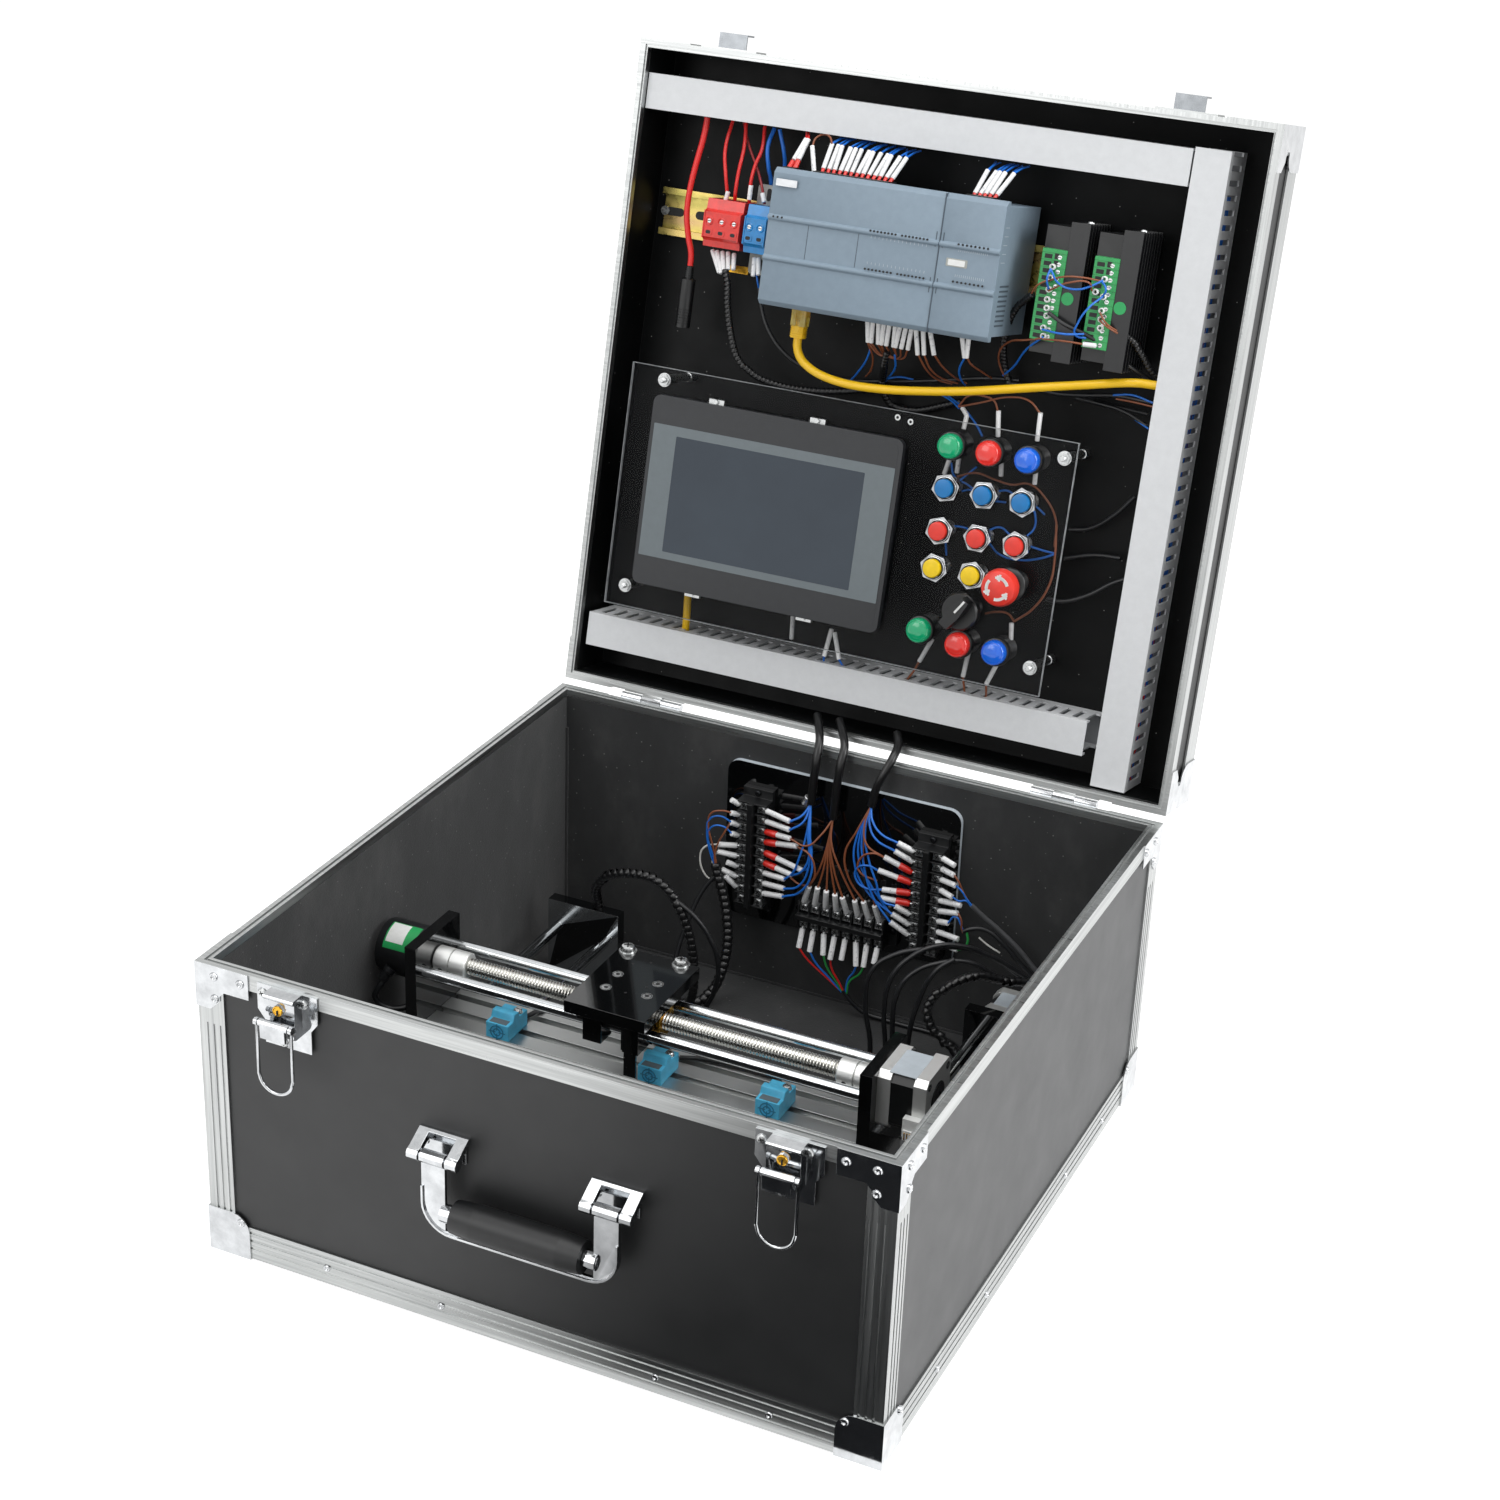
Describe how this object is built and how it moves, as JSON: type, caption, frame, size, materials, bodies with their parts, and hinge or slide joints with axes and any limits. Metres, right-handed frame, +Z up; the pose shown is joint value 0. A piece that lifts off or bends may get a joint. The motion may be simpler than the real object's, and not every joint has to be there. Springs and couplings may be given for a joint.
{
  "type": "plc motion control trainer",
  "caption": "Flight case trainer: hinged lid with a controller, drivers, touch screen and push buttons over a base with a motorised two-axis ball screw stage and wiring board.",
  "frame": {"origin": "centre of the case's underside, on the plane of its corner feet", "axes": "+X to the right, +Y to the back where the lid hinges, +Z up"},
  "size_m": [0.48, 0.6761, 0.6967],
  "materials": {
    "black_board": "black laminate",
    "lining": "felt covered",
    "aluminium": "brushed",
    "chrome": "polished",
    "grip_plastic": "matte",
    "black_aluminium": "black anodised",
    "black_steel": "black",
    "steel": "ground",
    "duct_plastic": "matte",
    "strip_plastic": "gloss",
    "passivated_steel": "yellow passivated",
    "grey_plastic": "matte",
    "red_plastic": "gloss",
    "blue_plastic": "gloss",
    "yellow_plastic": "gloss",
    "sensor_blue": "matte",
    "clear_acrylic": "clear",
    "cord_black": "matte"
  },
  "bodies": {
    "base": {"base_floor_board": "lining", "base_wall_boards": "black_board", "base_rim_frame": "aluminium", "base_lower_frame": "aluminium", "latch_plate_left": "chrome", "latch_plate_right": "chrome", "handle_mount_left": "chrome", "handle_mount_right": "chrome", "terminal_board": "black_aluminium", "terminal_strip_left": "strip_plastic", "terminal_strip_middle": "strip_plastic", "terminal_strip_right": "strip_plastic", "y_guide_left": "black_aluminium", "y_guide_right": "black_aluminium", "y_motor": "black_steel", "lid_harness": "cord_black"},
    "left_latch_lever": {"latch_lever_left": "chrome"},
    "right_latch_lever": {"latch_lever_right": "chrome"},
    "left_latch_bail": {"latch_bail_left": "chrome"},
    "right_latch_bail": {"latch_bail_right": "chrome"},
    "handle": {"carry_handle": "chrome", "handle_grip": "grip_plastic"},
    "floor_screw": {"y_screw": "steel"},
    "cross_stage": {"x_bed": "aluminium", "x_frame": "black_aluminium", "x_motor": "black_steel", "x_encoder": "black_steel", "sensor_left": "sensor_blue", "sensor_middle": "sensor_blue", "sensor_right": "sensor_blue", "y_shoe_left": "black_aluminium", "y_shoe_right": "black_aluminium"},
    "stage_screw": {"x_screw": "steel"},
    "carriage": {"x_carriage": "black_aluminium"},
    "lid": {"lid_boards": "black_board", "lid_frame": "aluminium", "duct_top": "duct_plastic", "duct_bottom": "duct_plastic", "duct_side": "duct_plastic", "din_rail": "passivated_steel", "controller": "grey_plastic", "controller_module": "grey_plastic", "feed_terminals": "red_plastic", "driver_1": "black_aluminium", "driver_2": "black_aluminium", "control_panel": "clear_acrylic", "touch_screen": "grip_plastic", "network_lead": "yellow_plastic", "dc_lead": "cord_black", "dc_socket": "cord_black"},
    "blue_button_1": {"button_blue_1": "blue_plastic"},
    "blue_button_2": {"button_blue_2": "blue_plastic"},
    "blue_button_3": {"button_blue_3": "blue_plastic"},
    "red_button_1": {"button_red_1": "red_plastic"},
    "red_button_2": {"button_red_2": "red_plastic"},
    "red_button_3": {"button_red_3": "red_plastic"},
    "yellow_button_1": {"button_yellow_1": "yellow_plastic"},
    "yellow_button_2": {"button_yellow_2": "yellow_plastic"},
    "stop": {"stop_button": "red_plastic"},
    "selector": {"selector_knob": "grip_plastic"}
  },
  "joints": [
    {"name": "lid_hinge", "type": "hinge", "parent": "base", "child": "lid", "pos_m": [0, 0.2433, 0.218], "axis": [1, 0, 0], "range_deg": [0, 103.2], "deforming": ["lid_harness"]},
    {"name": "y_slide", "type": "slide", "parent": "base", "child": "cross_stage", "axis": [0, 1, 0], "range_m": [-0.08, 0.12]},
    {"name": "y_screw_spin", "type": "hinge", "parent": "base", "child": "floor_screw", "pos_m": [0.159, 0, 0.05], "axis": [0, 1, 0], "range_deg": [-12000, 12000]},
    {"name": "x_slide", "type": "slide", "parent": "cross_stage", "child": "carriage", "axis": [1, 0, 0], "range_m": [-0.095, 0.12]},
    {"name": "x_screw_spin", "type": "hinge", "parent": "cross_stage", "child": "stage_screw", "pos_m": [0, -0.036, 0.1311], "axis": [1, 0, 0], "range_deg": [-12000, 12000]},
    {"name": "latch_lever_left_hinge", "type": "hinge", "parent": "base", "child": "left_latch_lever", "pos_m": [-0.171, -0.2475, 0.1895], "axis": [-1, 0, 0], "range_deg": [-15, 18]},
    {"name": "latch_lever_right_hinge", "type": "hinge", "parent": "base", "child": "right_latch_lever", "pos_m": [0.171, -0.2475, 0.1895], "axis": [-1, 0, 0], "range_deg": [-15, 18]},
    {"name": "latch_bail_left_hinge", "type": "hinge", "parent": "left_latch_lever", "child": "left_latch_bail", "pos_m": [-0.171, -0.2556, 0.1985], "axis": [-1, 0, 0], "range_deg": [0, 95]},
    {"name": "latch_bail_right_hinge", "type": "hinge", "parent": "right_latch_lever", "child": "right_latch_bail", "pos_m": [0.171, -0.2556, 0.1985], "axis": [-1, 0, 0], "range_deg": [0, 95]},
    {"name": "handle_hinge", "type": "hinge", "parent": "base", "child": "handle", "pos_m": [0, -0.252, 0.1345], "axis": [-1, 0, 0], "range_deg": [0, 95]},
    {"name": "blue_button_1_press", "type": "slide", "parent": "lid", "child": "blue_button_1", "axis": [0, 0.9736, -0.2283], "range_m": [0, 0.0025], "stiffness_N_per_m": 600, "springref_m": -0.002},
    {"name": "blue_button_2_press", "type": "slide", "parent": "lid", "child": "blue_button_2", "axis": [0, 0.9736, -0.2283], "range_m": [0, 0.0025], "stiffness_N_per_m": 600, "springref_m": -0.002},
    {"name": "blue_button_3_press", "type": "slide", "parent": "lid", "child": "blue_button_3", "axis": [0, 0.9736, -0.2283], "range_m": [0, 0.0025], "stiffness_N_per_m": 600, "springref_m": -0.002},
    {"name": "red_button_1_press", "type": "slide", "parent": "lid", "child": "red_button_1", "axis": [0, 0.9736, -0.2283], "range_m": [0, 0.0025], "stiffness_N_per_m": 600, "springref_m": -0.002},
    {"name": "red_button_2_press", "type": "slide", "parent": "lid", "child": "red_button_2", "axis": [0, 0.9736, -0.2283], "range_m": [0, 0.0025], "stiffness_N_per_m": 600, "springref_m": -0.002},
    {"name": "red_button_3_press", "type": "slide", "parent": "lid", "child": "red_button_3", "axis": [0, 0.9736, -0.2283], "range_m": [0, 0.0025], "stiffness_N_per_m": 600, "springref_m": -0.002},
    {"name": "yellow_button_1_press", "type": "slide", "parent": "lid", "child": "yellow_button_1", "axis": [0, 0.9736, -0.2283], "range_m": [0, 0.0025], "stiffness_N_per_m": 600, "springref_m": -0.002},
    {"name": "yellow_button_2_press", "type": "slide", "parent": "lid", "child": "yellow_button_2", "axis": [0, 0.9736, -0.2283], "range_m": [0, 0.0025], "stiffness_N_per_m": 600, "springref_m": -0.002},
    {"name": "stop_button_press", "type": "slide", "parent": "lid", "child": "stop", "axis": [0, 0.9736, -0.2283], "range_m": [0, 0.004]},
    {"name": "selector_turn", "type": "hinge", "parent": "lid", "child": "selector", "pos_m": [0.07, 0.26846, 0.33361], "axis": [0, -0.9736, 0.2283], "range_deg": [-45, 45]}
  ],
  "couplings": [
    {"joint": "y_screw_spin", "follows": "y_slide", "rad_per_m": -1570.8},
    {"joint": "x_screw_spin", "follows": "x_slide", "rad_per_m": -1570.8}
  ]
}
